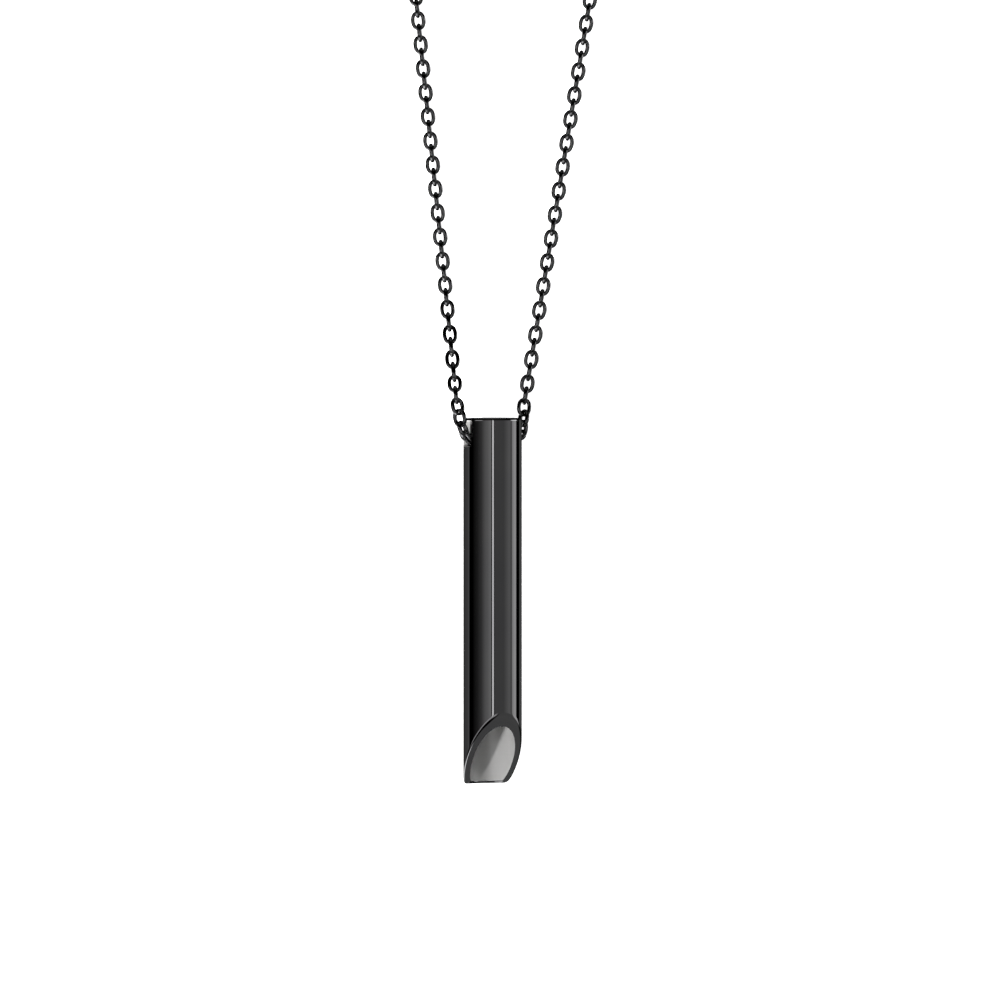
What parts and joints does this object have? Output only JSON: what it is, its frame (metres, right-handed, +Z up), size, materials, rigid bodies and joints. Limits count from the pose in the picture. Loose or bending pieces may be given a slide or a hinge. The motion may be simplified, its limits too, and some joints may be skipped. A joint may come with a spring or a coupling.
{
  "type": "breathing tube pendant",
  "caption": "Small steel tube with a slanted mouthpiece and two chain windows, on a fine cable chain with a lobster clasp, laid flat with the spare chain coiled.",
  "frame": {"origin": "centre of the pendant tube's footprint on the surface it lies on, without the chain", "axes": "+Z up from the surface; +Y along the tube from its mouthpiece to the plugged end, where the chain leaves; +X to the right as seen from above"},
  "size_m": [0.0306, 0.1393, 0.008],
  "materials": {
    "polished_black_steel": "mirror-polished steel with a black coating; bare steel in the bore",
    "black_chain_steel": "polished black-coated steel wire",
    "spring_steel": "bright drawn spring wire"
  },
  "bodies": {
    "chain": {"chain_left": "black_chain_steel", "chain_right": "black_chain_steel", "coil_left": "black_chain_steel", "coil_right": "black_chain_steel", "left_link_1": "black_chain_steel", "left_link_2": "black_chain_steel", "left_link_3": "black_chain_steel", "left_link_4": "black_chain_steel", "right_link_1": "black_chain_steel", "right_link_2": "black_chain_steel", "right_link_3": "black_chain_steel", "right_link_4": "black_chain_steel"},
    "pendant": {"tube_body": "polished_black_steel", "end_plug": "polished_black_steel", "through_link_1": "black_chain_steel", "through_link_2": "black_chain_steel", "through_link_3": "black_chain_steel", "through_link_4": "black_chain_steel", "through_link_5": "black_chain_steel", "through_link_6": "black_chain_steel", "through_link_7": "black_chain_steel", "through_link_8": "black_chain_steel"},
    "clasp": {"clasp_body": "black_chain_steel", "clasp_pin": "black_chain_steel", "clasp_spring": "spring_steel", "clasp_jump_ring": "black_chain_steel"},
    "clasp_lever": {"clasp_lever": "black_chain_steel"},
    "end_ring": {"end_ring": "black_chain_steel"}
  },
  "joints": [
    {"name": "pendant_swing", "type": "hinge", "parent": "chain", "child": "pendant", "pos_m": [0, 0.02423, 0.00415], "axis": [-0.9005, -0.0151, 0.4346], "range_deg": [0, 50]},
    {"name": "clasp_lift", "type": "hinge", "parent": "chain", "child": "clasp", "pos_m": [0.01113, 0.10301, 0.0056], "axis": [-0.9903, -0.1392, 0], "range_deg": [0, 110]},
    {"name": "clasp_lever_open", "type": "hinge", "parent": "clasp", "child": "clasp_lever", "pos_m": [0.01154, 0.09616, 0.0056], "axis": [0, 0, 1], "range_deg": [0, 25], "stiffness_Nm_per_rad": 0.002, "springref_deg": -17.19, "deforming": ["clasp_spring"]},
    {"name": "end_ring_lift", "type": "hinge", "parent": "chain", "child": "end_ring", "pos_m": [-0.00077, 0.09904, 0.00086], "axis": [-0.7249, -0.6889, 0], "range_deg": [0, 90]}
  ]
}
